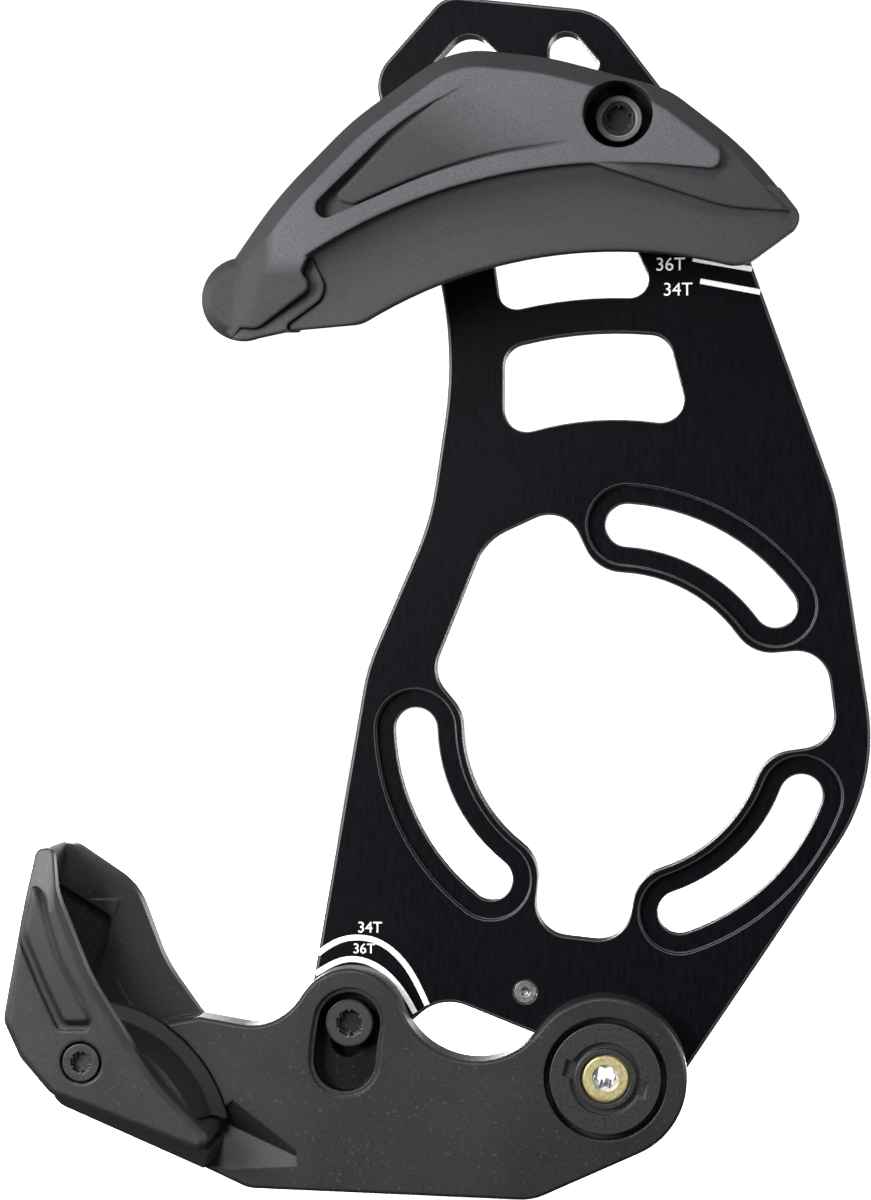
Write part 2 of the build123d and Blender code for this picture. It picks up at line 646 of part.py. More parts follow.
# Terrace under the front end of the raised face: it falls to the front, inside a rim along the top edge
front_terrace = [
    (*terrace_start, 0), (6.5, 7.2, 60.0), (15.4, 6.3, 1.4), (15.4, 10.2, 0), (18.1, 8.2, 3.0),
    (24.4, 0.9, 1.0), (23.0, -0.6, 0), (16.2, -1.5, 0),
]


def crown_layer(start, slope_x, slope_z):
    """Sketch plane that leaves the raised face at a point and falls by the slopes."""
    return tilted_layer(start[0], ring_radius + start[1], face_front, slope_x, slope_z)


def sink(corners, start, slope_x, slope_z, groove=0):
    """Cuts an outline down to a sloped floor in the crown in hand, or only a groove along its foot."""
    with BuildSketch(crown_layer(start, slope_x, slope_z)) as floor:
        outline([(x - start[0], rise - start[1], r) for x, rise, r in corners])
        if groove:
            outline([(x - start[0], rise - start[1] + groove, r) for x, rise, r in corners], Mode.SUBTRACT)
    extrude(floor.sketch, amount=bevel_drop, mode=Mode.SUBTRACT)


with BuildPart() as guide_crown:
    with BuildSketch(layer(face_front - bevel_drop)):
        add(crown.sketch)
    extrude(amount=bevel_drop, taper=degrees(atan2(bevel_width, bevel_drop)))
    with BuildSketch(layer(cheek_back)):
        add(crown.sketch)
    extrude(amount=face_front - bevel_drop - cheek_back)
    with BuildSketch(layer(cheek_back)):
        add(below_crown.sketch)
    extrude(amount=face_front, mode=Mode.SUBTRACT)
    for fall in (ridge_fall, ridge_side_fall):
        with BuildSketch(crown_layer(ridge_top, *fall)):
            Circle(-2 * tail_lobe_place[1])
        extrude(amount=bevel_drop, mode=Mode.SUBTRACT)
    fade_run = pocket_fade_end[0] - pocket_peak[0]
    fade_drop = pocket_fade_end[1] - pocket_peak[1]
    for fall, corners, groove in (
        (pocket_fall, face_pocket, 0),
        (trench_fall, pocket_trench, 0),
        (trench_fall, face_pocket, pocket_groove),
    ):
        share = fall / hypot(fade_run, fade_drop)
        sink(corners, pocket_peak, fade_drop * share, -fade_run * share, groove)
    sink(front_terrace, terrace_start, terrace_fall, 0)

roof_front = [(-27.5, 30.0), (-24.5, -5.0), (40.0, -5.0), (40.0, 30.0)]

# Upper guide: outer half with the crown, the skirt and the roof over the chain, inner half with the
# cheek beside the plate and the hook
with BuildPart() as upper_guide_outer:
    with BuildSketch(layer(cheek_back)):
        Circle(roof_radius)
        with BuildSketch(mode=Mode.INTERSECT):
            guide_side(skirt_radius)
    extrude(amount=outer_wall)
    with BuildSketch(turning_plane((0, 0), cove_start)):
        with BuildLine():
            cove_foot = (skirt_radius + cove_margin, cheek_front)
            cove_top = (roof_radius - cove_margin, cheek_front)
            SagittaArc(cove_foot, cove_top, -cove_sag)
            Line(cove_foot, cove_top)
        make_face()
    revolve(axis=Axis((0, 0, 0), (0, -1, 0)), revolution_arc=cove_end - cove_start, mode=Mode.SUBTRACT)
    lobe_step = cheek_front - tail_lobe_bevel
    cylinder(tail_lobe, tail_lobe_radius, lobe_step, cheek_front, Mode.SUBTRACT)
    cylinder(tail_lobe, tail_lobe_radius, cheek_back, lobe_step)
    with BuildSketch(layer(lobe_step)):
        disc(tail_lobe, tail_lobe_radius)
    extrude(amount=tail_lobe_bevel, taper=45)
    add(guide_crown.part)
    with BuildSketch(layer(cheek_back)):
        add(hook_zone.sketch)
    extrude(amount=outer_wall, mode=Mode.SUBTRACT)
    with BuildSketch(layer(inner_front)) as roof:
        guide_side(skirt_radius)
        Circle(roof_radius, mode=Mode.SUBTRACT)
        Polygon(*over_ring(roof_front), align=None, mode=Mode.INTERSECT)
    extrude(amount=chain_space)
    with BuildSketch(layer(inner_front)):
        add(roof.sketch)
        offset(amount=-roof_wall)
        disc(guide_bolt, guide_counterbore_radius + guide_boss_wall, Mode.SUBTRACT)
        with Locations(over_ring([(-12.0, 15.0)])[0]):
            Rectangle(roof_rib, 30.0, mode=Mode.SUBTRACT)
    extrude(amount=chain_space - roof_wall, mode=Mode.SUBTRACT)
    cylinder(guide_bolt, guide_sleeve_radius + seat_gap, inner_front, guide_head_seat, Mode.SUBTRACT)
    cylinder(guide_bolt, guide_counterbore_radius, guide_head_seat, face_front, Mode.SUBTRACT)

with BuildSketch() as hook:
    guide_side(skirt_radius)
    with BuildSketch(mode=Mode.INTERSECT):
        add(hook_zone.sketch)
        offset(amount=-seam_gap / 2)

with BuildPart() as upper_guide_inner:
    with BuildSketch(layer(plate_front)):
        guide_side(ring_radius - inner_cheek_cover)
        Polygon(*over_ring([(10.0, -11.8), (17.5, -6.3), (30.0, 2.8), (30.0, -15.0)]), align=None,
                mode=Mode.SUBTRACT)
        Polygon(*over_ring([(-60.0, -15.2), (-30.0, -12.4), (-30.0, -22.0), (-60.0, -22.0)]), align=None,
                mode=Mode.SUBTRACT)
        disc(guide_bolt, guide_sleeve_radius + seat_gap, Mode.SUBTRACT)
    extrude(amount=inner_wall)
    with BuildSketch(layer(inner_front)):
        add(hook.sketch)
        Polygon(*over_ring([(-66.0, -11.8), (-40.0, -11.8), (-40.0, -15.0), (-66.0, -15.0)]),
                align=None, mode=Mode.INTERSECT)
    extrude(amount=chain_space)
    with BuildSketch(layer(cheek_back)):
        add(hook.sketch)
    extrude(amount=outer_wall - seam_gap)

# Bolt stack of the upper guide: flanged nut sliding in the plate, sleeve through the guide, bolt
with BuildPart() as upper_guide_nut:
    cylinder(guide_bolt, guide_nut_flange_radius, 0, guide_nut_flange)
    cylinder(guide_bolt, guide_nut_neck_radius, 0, plate_front)
    cylinder(guide_bolt, guide_bolt_radius + seat_gap, 0, plate_front, Mode.SUBTRACT)

with BuildPart() as upper_guide_sleeve:
    cylinder(guide_bolt, guide_sleeve_radius, plate_front, guide_head_seat)
    cylinder(guide_bolt, guide_bolt_radius + seat_gap, plate_front, guide_head_seat, Mode.SUBTRACT)

with BuildPart() as upper_guide_bolt:
    guide_head_top = guide_head_seat + guide_head_height
    socket_screw(guide_bolt, seat_gap, guide_head_seat, guide_bolt_radius, guide_head_radius,
                 guide_head_height)
    cylinder(guide_bolt, guide_head_dish_radius, guide_head_top - guide_head_dish_depth, guide_head_top,
             Mode.SUBTRACT)

for piece, name in (
    (back_plate, "back_plate"), (stop_pin, "stop_pin"), (pivot_flange, "pivot_flange"),
    (pivot_nut, "pivot_nut"), (pivot_bolt, "pivot_bolt"), (arm_clamp_screw, "arm_clamp_screw"),
    (lower_arm, "lower_arm"), (lower_guide_cover, "lower_guide_cover"),
    (lower_guide_insert, "lower_guide_insert"), (lower_guide_screw, "lower_guide_screw"),
    (chain_slider, "chain_slider"), (upper_guide_outer, "upper_guide_outer"),
    (upper_guide_inner, "upper_guide_inner"), (upper_guide_nut, "upper_guide_nut"),
    (upper_guide_sleeve, "upper_guide_sleeve"), (upper_guide_bolt, "upper_guide_bolt"),
):
    piece.part.label = name
    export_step(piece.part, f"parts/{name}.step")
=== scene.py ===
import json
import math

import bpy
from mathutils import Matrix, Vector

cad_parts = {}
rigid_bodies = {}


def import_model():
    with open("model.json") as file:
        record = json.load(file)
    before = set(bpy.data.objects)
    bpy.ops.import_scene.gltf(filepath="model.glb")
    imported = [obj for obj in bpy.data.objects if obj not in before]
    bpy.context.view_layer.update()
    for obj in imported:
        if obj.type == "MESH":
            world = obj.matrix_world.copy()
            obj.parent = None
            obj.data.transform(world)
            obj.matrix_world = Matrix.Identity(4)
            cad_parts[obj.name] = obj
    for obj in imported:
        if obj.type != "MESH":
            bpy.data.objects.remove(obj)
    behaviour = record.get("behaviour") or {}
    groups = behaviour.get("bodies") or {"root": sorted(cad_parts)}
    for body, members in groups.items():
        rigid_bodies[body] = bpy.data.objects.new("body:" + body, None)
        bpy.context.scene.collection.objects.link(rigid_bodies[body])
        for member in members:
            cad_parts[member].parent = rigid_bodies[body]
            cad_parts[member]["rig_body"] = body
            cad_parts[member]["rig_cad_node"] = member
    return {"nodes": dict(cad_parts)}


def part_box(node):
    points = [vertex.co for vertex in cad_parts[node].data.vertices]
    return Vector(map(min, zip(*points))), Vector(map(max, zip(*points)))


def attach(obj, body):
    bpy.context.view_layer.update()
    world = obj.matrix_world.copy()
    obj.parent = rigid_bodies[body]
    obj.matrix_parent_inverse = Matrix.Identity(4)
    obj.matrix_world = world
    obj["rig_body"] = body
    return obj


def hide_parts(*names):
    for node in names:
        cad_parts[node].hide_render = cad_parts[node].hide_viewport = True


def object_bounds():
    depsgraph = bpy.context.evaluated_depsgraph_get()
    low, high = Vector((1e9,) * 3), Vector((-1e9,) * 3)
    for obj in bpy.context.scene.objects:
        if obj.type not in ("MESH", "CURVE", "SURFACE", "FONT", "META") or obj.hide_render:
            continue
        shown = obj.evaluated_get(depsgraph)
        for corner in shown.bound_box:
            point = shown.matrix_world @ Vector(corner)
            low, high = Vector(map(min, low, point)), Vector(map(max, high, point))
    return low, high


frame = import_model()
CAD_BOX = [[float(v) for v in corner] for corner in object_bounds()]

bl_info = {
    "name": "Chain guide dressing",
    "version": (1, 0, 0),
    "blender": (4, 5, 0),
    "location": "View3D > Sidebar > Chain guide",
    "description": "Finishes, printed marks and studio for a bicycle chain guide",
    "category": "Object",
}

MM = 0.001
PLATE_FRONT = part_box("back_plate")[0][1]

# Points this close are joined, in a new copy of a node and after a trim.
SAME_POINT = 0.002 * MM
MOVED_POINT = 0.03 * MM
# Faces that meet at less than this angle become one.
FLAT_ANGLE = math.radians(0.8)
# Edges sharper than the first angle are rounded, and curves up to the second look smooth.
EDGE_ANGLE = math.radians(28)
SMOOTH_ANGLE = math.radians(32)
EDGE_SEGMENTS = 2
# Points this near to the plate's front lie on it.
ON_PLATE = 0.01 * MM

# Trims of the tail finger's tip and the hook's lower corner: place and step in millimetres.
FINGER_TRIM = (
    ((-55.09, -20.75, 56.68), (-0.02, 0.58, 0.02)),
    ((-54.4, -20.98, 56.06), (0, 1.18, 0)),
)
HOOK_TRIM = (
    ((-50.5, -20.8, 55.26), (0, 0, 0.85)),
    ((-50.5, -18.5, 55.26), (0, 0, 0.85)),
)

# Margins round the clamp screw's head within which the arm's faces are the well's floor, and the
# share of the arm's colour that this floor is darkened to as painted shade.
WELL_SIDE = 2 * MM
WELL_BELOW = 8 * MM
WELL_BEHIND = 0.5 * MM
WELL_SHADE_TONE = 0.3

# Noise lies mostly between the first two values, and its scale is in waves to a metre.
NOISE_LOW = 0.3
NOISE_HIGH = 0.7
NYLON_FLOW = 60.0
NYLON_RIPPLE = 260.0
PLATE_CLOUD = 45.0
FINE_MARKS = 2200.0
INK_GRAIN = 1800.0
FLOOR_CLOUD = 3.0

# Relief of each finish: depth, and strength from 0 to 1.
GRAIN_DEPTH = 0.03 * MM
GRAIN_RELIEF = 0.6
RIPPLE_DEPTH = 0.05 * MM
RIPPLE_RELIEF = 0.12
MARK_DEPTH = 0.01 * MM
MARK_RELIEF = 0.2

# Dark and pale tones of each finish, as shares of its colour.
WHITE = (1.0, 1.0, 1.0)
FLOW_TONES = (0.88, 1.12)
GRAIN_TONES = (0.66, 1.0)
BRUSHED_TONES = (0.6, 1.9)
TURNED_TONES = (0.8, 1.12)
INK_TONES = (0.88, 1.0)
FLOOR_TONES = (0.985, 1.0)
# How far each finish's roughness goes below and above its middle.
NYLON_SHEEN = (-0.05, 0.06)
PLATE_SHEEN = (-0.015, 0.02)
TURNED_SHEEN = (-0.06, 0.08)
# Strength of the highlights on the plate's black.
PLATE_GLOSS = 0.14

# Fibre specks: waves to a grain, strength, and the noise that they start and are full at.
SPECK_WAVES = 0.6
SPECK_STRENGTH = 0.16
SPECK_START = 0.66
SPECK_END = 0.78
SOFT_EDGE_SAMPLES = 6
# Painted shade starts this far behind the raised front, and towards the tail it grows over this
# many shade depths below the foot.
SHADE_START = 0.02 * MM
TAIL_SHADE_FADE = 5

# Painted highlight rings on two screws, as shares of the radius: start, full, still full, and end.
BOLT_HIGHLIGHT_RING = (0.7, 0.74, 0.93, 0.96)
CLAMP_HIGHLIGHT_RING = (0.45, 0.5, 0.9, 0.95)

# Setting lines on the plate's front: name, width, and points of x and z, in millimetres.
SETTING_LINES = (
    ("mark_36_upper", 0.85, ((11.6, 68.6), (20.3, 67.0))),
    ("mark_34_upper", 0.85, ((12.7, 65.3), (21.5, 63.6))),
    ("mark_34_lower", 0.9, ((-44.0, -34.4), (-41.4, -32.2), (-37.7, -31.6), (-34.4, -32.5),
                            (-31.4, -34.9), (-29.3, -38.1), (-27.7, -41.8))),
    ("mark_36_lower", 0.9, ((-44.4, -37.4), (-41.6, -35.5), (-39.0, -34.8), (-35.8, -35.6),
                            (-33.0, -37.6), (-30.9, -40.3), (-29.5, -43.0))),
)
# Tooth counts beside them: name, text, x and z in millimetres, and share of the letter height.
TOOTH_COUNTS = (
    ("count_36_upper", "36T", 6.1, 66.9, 1.0),
    ("count_34_upper", "34T", 7.2, 63.2, 1.0),
    ("count_34_lower", "34T", -38.1, -31.1, 0.84),
    ("count_36_lower", "36T", -38.8, -34.2, 0.76),
)
# Height of the font's capitals at size 1.
CAP_SHARE = 0.69
# Order of a line's smooth curve, and the roundness of its edges.
CUBIC = 4
LINE_ROUNDNESS = 2

# Studio, in metres: the point that camera and lamps look at, the floor and its backdrop.
AIM = Vector((-26.43 * MM, -4 * MM, 18.33 * MM))
FLOOR_DROP = 1.0 * MM
FLOOR_MIDDLE = -1.825
FLOOR_SIZE = (10.0, 6.35, 1.0)
FLOOR_GLOW = 0.85
BACKDROP_HEIGHT = 2.5
SWEEP_RADIUS = 0.5
SWEEP_SEGMENTS = 16
# Strength of the white world, as the part is lit by it and as the camera sees it.
WORLD_ON_PART = 0.1
WORLD_SEEN = 0.94
# Lamps: name, place, width in metres and power in watts.
LAMPS = (
    ("key_lamp", (-0.28, -0.35, 0.1), 0.2, 3.9),
    ("fill_lamp", (0.5, -0.62, -0.05), 0.3, 3.2),
    ("top_lamp", (-0.05, -0.42, 0.5), 0.2, 2.8),
    ("back_lamp", (-0.3, 0.55, 0.2), 0.3, 6.0),
    ("back_fill_lamp", (0.35, 0.6, -0.02), 0.3, 4.0),
    ("right_lamp", (0.6, 0.06, 0.12), 0.3, 3.0),
    ("left_lamp", (-0.65, 0.1, 0.12), 0.3, 2.5),
)
# Camera: height of its sensor in millimetres, and the nearest that it sees, in metres.
SENSOR_HEIGHT = 36.0
CLIP_START = 0.01


class PlateLook(bpy.types.PropertyGroup):
    """Finish of the back plate."""

    colour: bpy.props.FloatVectorProperty(
        name="Anodised black", description="Base colour of the back plate",
        subtype="COLOR", default=(0.0018, 0.0015, 0.0024), min=0, max=1)
    roughness: bpy.props.FloatProperty(
        name="Sheen width", description="Roughness of the anodised face",
        subtype="FACTOR", default=0.27, min=0, max=1)
    brushing: bpy.props.FloatProperty(
        name="Brushing", description="Strength of the fine brushed lines",
        subtype="FACTOR", default=0.4, min=0, max=1)
    edge: bpy.props.FloatProperty(
        name="Edge break", description="Width of the rounded plate edges",
        default=0.18 * MM, unit="LENGTH")
    # Painted highlight: a paler colour on the plate's rounded edges stands in for light caught
    # there.
    edge_highlight_colour: bpy.props.FloatVectorProperty(
        name="Highlit edge", description="Colour of the plate's edges, where the black is worn",
        subtype="COLOR", default=(0.035, 0.034, 0.037), min=0, max=1)


class MouldingLook(bpy.types.PropertyGroup):
    """Finish of the moulded guide pieces."""

    guide_colour: bpy.props.FloatVectorProperty(
        name="Guide grey", description="Base colour of the upper guide",
        subtype="COLOR", default=(0.07, 0.068, 0.0748), min=0, max=1)
    cover_colour: bpy.props.FloatVectorProperty(
        name="Cover grey", description="Base colour of the slider cover",
        subtype="COLOR", default=(0.02, 0.0193, 0.0222), min=0, max=1)
    arm_colour: bpy.props.FloatVectorProperty(
        name="Arm grey", description="Base colour of the lower arm",
        subtype="COLOR", default=(0.0145, 0.0138, 0.016), min=0, max=1)
    slider_colour: bpy.props.FloatVectorProperty(
        name="Slider grey", description="Base colour of the chain slider",
        subtype="COLOR", default=(0.014, 0.0134, 0.0155), min=0, max=1)
    grain: bpy.props.FloatProperty(
        name="Grain size", description="Size of the moulded surface grain",
        default=0.28 * MM, unit="LENGTH")
    edge: bpy.props.FloatProperty(
        name="Moulded edge", description="Widest rounding of the moulding edges",
        default=0.3 * MM, unit="LENGTH")
    fibre_colour: bpy.props.FloatVectorProperty(
        name="Fibre specks", description="Colour of the pale glass fibre specks",
        subtype="COLOR", default=(0.16, 0.157, 0.165), min=0, max=1)
    softness: bpy.props.FloatProperty(
        name="Edge softness", description="How far the shading runs round an edge",
        default=0.7 * MM, unit="LENGTH")
    # Painted shade: the upper guide's faces behind its raised face and towards its tail, and the
    # whole inner cheek, are darkened to this share of their colour.
    recess_shade: bpy.props.FloatProperty(
        name="Valley tone", description="Tone below the unshaded raised face",
        subtype="FACTOR", default=0.38, min=0, max=1)
    running_gap: bpy.props.FloatProperty(
        name="Running gap", description="Room between the sliding faces and the plate's front",
        default=0.03 * MM, unit="LENGTH")
    tail_shade_top: bpy.props.FloatProperty(
        name="Shade foot", description="Height at which the unshaded face ends towards the tail",
        default=67.2 * MM, unit="LENGTH")
    shade_depth: bpy.props.FloatProperty(
        name="Shade depth", description="Depth that the darkening reaches below the raised face",
        default=0.5 * MM, unit="LENGTH")


class MetalLook(bpy.types.PropertyGroup):
    """Finish of the pin, the screws, the nuts and the pivot pieces."""

    pin_colour: bpy.props.FloatVectorProperty(
        name="Pin grey", description="Colour of the stop pin",
        subtype="COLOR", default=(0.2, 0.195, 0.195), min=0, max=1)
    pin_edge: bpy.props.FloatProperty(
        name="Pin edge", description="Width of the stop pin's rounded edges",
        default=0.1 * MM, unit="LENGTH")
    oxide_colour: bpy.props.FloatVectorProperty(
        name="Black oxide", description="Colour of the black screw and nut",
        subtype="COLOR", default=(0.03, 0.029, 0.031), min=0, max=1)
    # Painted light: the two screws in deep sockets are painted near-black as shade, with a paler
    # ring painted as a highlight.
    socket_shade_colour: bpy.props.FloatVectorProperty(
        name="Socket black", description="Colour of the ringed screws in their sockets and rims",
        subtype="COLOR", default=(0.008, 0.0078, 0.0084), min=0, max=1)
    bolt_ring_highlight: bpy.props.FloatVectorProperty(
        name="Bolt ring", description="Colour of the pale ring on the upper guide's bolt",
        subtype="COLOR", default=(0.11, 0.107, 0.112), min=0, max=1)
    clamp_ring_highlight: bpy.props.FloatVectorProperty(
        name="Clamp ring", description="Colour of the pale ring on the clamp screw",
        subtype="COLOR", default=(0.035, 0.034, 0.0355), min=0, max=1)
    steel_colour: bpy.props.FloatVectorProperty(
        name="Bright steel", description="Colour of the sleeve and the hollow bolt",
        subtype="COLOR", default=(0.58, 0.58, 0.59), min=0, max=1)
    brass_colour: bpy.props.FloatVectorProperty(
        name="Brass", description="Colour of the pivot nut and the insert",
        subtype="COLOR", default=(0.5, 0.435, 0.22), min=0, max=1)
    flange_colour: bpy.props.FloatVectorProperty(
        name="Flange black", description="Colour of the dished pivot flange",
        subtype="COLOR", default=(0.02, 0.0195, 0.0195), min=0, max=1)
    edge: bpy.props.FloatProperty(
        name="Fastener edge", description="Width of the fasteners' rounded edges",
        default=0.15 * MM, unit="LENGTH")


class MarkLook(bpy.types.PropertyGroup):
    """Printed tooth-count marks on the plate."""

    ink: bpy.props.FloatVectorProperty(
        name="Ink", description="Colour of the printed marks",
        subtype="COLOR", default=(0.95, 0.95, 0.95), min=0, max=1)
    letter_height: bpy.props.FloatProperty(
        name="Letter height", description="Height of the tooth-count numbers",
        default=1.9 * MM, unit="LENGTH")
    film: bpy.props.FloatProperty(
        name="Ink film", description="Thickness of the ink, half of it in the plate",
        default=0.02 * MM, unit="LENGTH")


class StageLook(bpy.types.PropertyGroup):
    """Studio round the part."""

    distance: bpy.props.FloatProperty(
        name="Camera distance", description="From the aim point to the camera",
        default=0.45, unit="LENGTH")
    turn: bpy.props.FloatProperty(
        name="Camera turn", description="Camera azimuth from straight ahead",
        default=math.radians(5.0), subtype="ANGLE")
    lens: bpy.props.FloatProperty(
        name="Lens", description="Focal length on a 36 mm tall sensor",
        default=90.97, subtype="DISTANCE_CAMERA")
    floor_colour: bpy.props.FloatVectorProperty(
        name="Floor", description="Colour of the floor and backdrop",
        subtype="COLOR", default=(0.93, 0.93, 0.93), min=0, max=1)


def material(name, colour, roughness, metallic=0.0):
    """New node material with its node tree, main shader and object coordinates."""
    made = bpy.data.materials.new(name)
    made.use_nodes = True
    tree = made.node_tree
    shader = tree.nodes["Principled BSDF"]
    shader.inputs["Base Color"].default_value = (*colour, 1.0)
    shader.inputs["Roughness"].default_value = roughness
    shader.inputs["Metallic"].default_value = metallic
    place = tree.nodes.new("ShaderNodeTexCoord")
    return made, tree, shader, place.outputs["Object"]


def noise(tree, coords, scale, detail=2.0, stretch=(1, 1, 1)):
    """Noise on the object's own coordinates, stretched along its axes."""
    mapping = tree.nodes.new("ShaderNodeMapping")
    mapping.inputs["Scale"].default_value = stretch
    tree.links.new(coords, mapping.inputs["Vector"])
    node = tree.nodes.new("ShaderNodeTexNoise")
    node.inputs["Scale"].default_value = scale
    node.inputs["Detail"].default_value = detail
    tree.links.new(mapping.outputs["Vector"], node.inputs["Vector"])
    return node.outputs["Fac"]


def spread(tree, value, low, high, start=NOISE_LOW, end=NOISE_HIGH):
    """Maps a value between start and end to one between low and high."""
    node = tree.nodes.new("ShaderNodeMapRange")
    node.inputs["From Min"].default_value = start
    node.inputs["From Max"].default_value = end
    node.inputs["To Min"].default_value = low
    node.inputs["To Max"].default_value = high
    tree.links.new(value, node.inputs["Value"])
    return node.outputs["Result"]


def scaled(colour, share):
    """The same colour, darker or paler."""
    return tuple(min(1.0, c * share) for c in colour)


def tint(tree, value, colour, tones):
    """Colour that goes from its dark to its pale tone with a noise value."""
    ramp = tree.nodes.new("ShaderNodeValToRGB")
    for stop, place, tone in zip(ramp.color_ramp.elements, (NOISE_LOW, NOISE_HIGH), tones):
        stop.position = place
        stop.color = (*scaled(colour, tone), 1.0)
    tree.links.new(value, ramp.inputs["Fac"])
    return ramp.outputs["Color"]


def vary_roughness(tree, shader, value, roughness, sheen):
    """Lets the roughness go below and above its middle with a noise value."""
    low, high = sheen
    tree.links.new(spread(tree, value, roughness + low, roughness + high),
                   shader.inputs["Roughness"])


def blend(tree, share, first, second, mode="MIX"):
    """Colour mixed from two. The share and each colour are a socket or a fixed value."""
    node = tree.nodes.new("ShaderNodeMix")
    node.data_type = "RGBA"
    node.blend_type = mode
    for name, value in (("Factor", share), ("A", first), ("B", second)):
        if isinstance(value, bpy.types.NodeSocket):
            tree.links.new(value, node.inputs[name])
        else:
            node.inputs[name].default_value = value
    return node.outputs["Result"]


def bump(tree, shader, height, strength, depth):
    """Adds surface relief of this depth, on top of any that is there."""
    node = tree.nodes.new("ShaderNodeBump")
    node.inputs["Strength"].default_value = strength
    node.inputs["Distance"].default_value = depth
    tree.links.new(height, node.inputs["Height"])
    earlier = shader.inputs["Normal"].links
    if earlier:
        tree.links.new(earlier[0].from_socket, node.inputs["Normal"])
    tree.links.new(node.outputs["Normal"], shader.inputs["Normal"])


def moulded_nylon(name, look, colour, roughness, softness, unshaded_crest=None, gloss=0.3):
    """Glass-filled nylon: fine grain, cloudy flow, uneven gloss and soft edges.

    The crest gives the depth and the lowest height of a raised face; faces sunk behind that depth,
    and the tail below that height, are darkened as painted shade.
    """
    made, tree, shader, coords = material(name, colour, roughness)
    shader.inputs["Specular IOR Level"].default_value = gloss
    flow = noise(tree, coords, NYLON_FLOW, detail=4.0)
    grain = noise(tree, coords, 1.0 / look.grain, detail=3.0)
    cloudy = tint(tree, flow, colour, FLOW_TONES)
    finish = blend(tree, 1.0, cloudy, tint(tree, grain, WHITE, GRAIN_TONES), "MULTIPLY")
    specks = noise(tree, coords, SPECK_WAVES / look.grain, detail=1.0)
    fibres = spread(tree, specks, 0.0, SPECK_STRENGTH, SPECK_START, SPECK_END)
    finish = blend(tree, fibres, finish, (*look.fibre_colour, 1.0))
    # Painted shade: faces sunk behind the raised front, and the tail below the foot height, take
    # the darker recess tone.
    if unshaded_crest is not None:
        front, foot = unshaded_crest
        place = tree.nodes.new("ShaderNodeSeparateXYZ")
        tree.links.new(coords, place.inputs["Vector"])
        sunk = spread(tree, place.outputs["Y"], 0.0, 1.0, front, front + look.shade_depth)
        foot_end = foot - TAIL_SHADE_FADE * look.shade_depth
        tail = spread(tree, place.outputs["Z"], 1.0, 0.0, foot_end, foot)
        painted_shade_share = tree.nodes.new("ShaderNodeMath")
        painted_shade_share.operation = "MAXIMUM"
        tree.links.new(sunk, painted_shade_share.inputs[0])
        tree.links.new(tail, painted_shade_share.inputs[1])
        recess_shade = (look.recess_shade, look.recess_shade, look.recess_shade, 1.0)
        finish = blend(tree, painted_shade_share.outputs["Value"], finish, recess_shade, "MULTIPLY")
    tree.links.new(finish, shader.inputs["Base Color"])
    vary_roughness(tree, shader, flow, roughness, NYLON_SHEEN)
    soft = tree.nodes.new("ShaderNodeBevel")
    soft.samples = SOFT_EDGE_SAMPLES
    soft.inputs["Radius"].default_value = softness
    tree.links.new(soft.outputs["Normal"], shader.inputs["Normal"])
    ripple = noise(tree, coords, NYLON_RIPPLE, detail=3.0)
    bump(tree, shader, grain, GRAIN_RELIEF, GRAIN_DEPTH)
    bump(tree, shader, ripple, RIPPLE_RELIEF, RIPPLE_DEPTH)
    return made


def anodised_plate(look):
    """Black anodised aluminium, finely brushed upright, with a slightly uneven sheen."""
    made, tree, shader, coords = material("black_anodised_plate", look.colour, look.roughness)
    shader.inputs["Specular IOR Level"].default_value = PLATE_GLOSS
    lines = noise(tree, coords, FINE_MARKS, detail=3.0, stretch=(1.0, 1.0, 0.2))
    cloud = noise(tree, coords, PLATE_CLOUD, detail=3.0)
    tree.links.new(tint(tree, lines, look.colour, BRUSHED_TONES), shader.inputs["Base Color"])
    vary_roughness(tree, shader, cloud, look.roughness, PLATE_SHEEN)
    bump(tree, shader, lines, look.brushing, MARK_DEPTH)
    return made


def turned_metal(name, colour, roughness, metallic):
    """Metal with fine tool marks and uneven gloss."""
    made, tree, shader, coords = material(name, colour, roughness, metallic)
    marks = noise(tree, coords, FINE_MARKS, detail=3.0, stretch=(1.0, 3.0, 1.0))
    tree.links.new(tint(tree, marks, colour, TURNED_TONES), shader.inputs["Base Color"])
    vary_roughness(tree, shader, marks, roughness, TURNED_SHEEN)
    bump(tree, shader, marks, MARK_RELIEF, MARK_DEPTH)
    return made


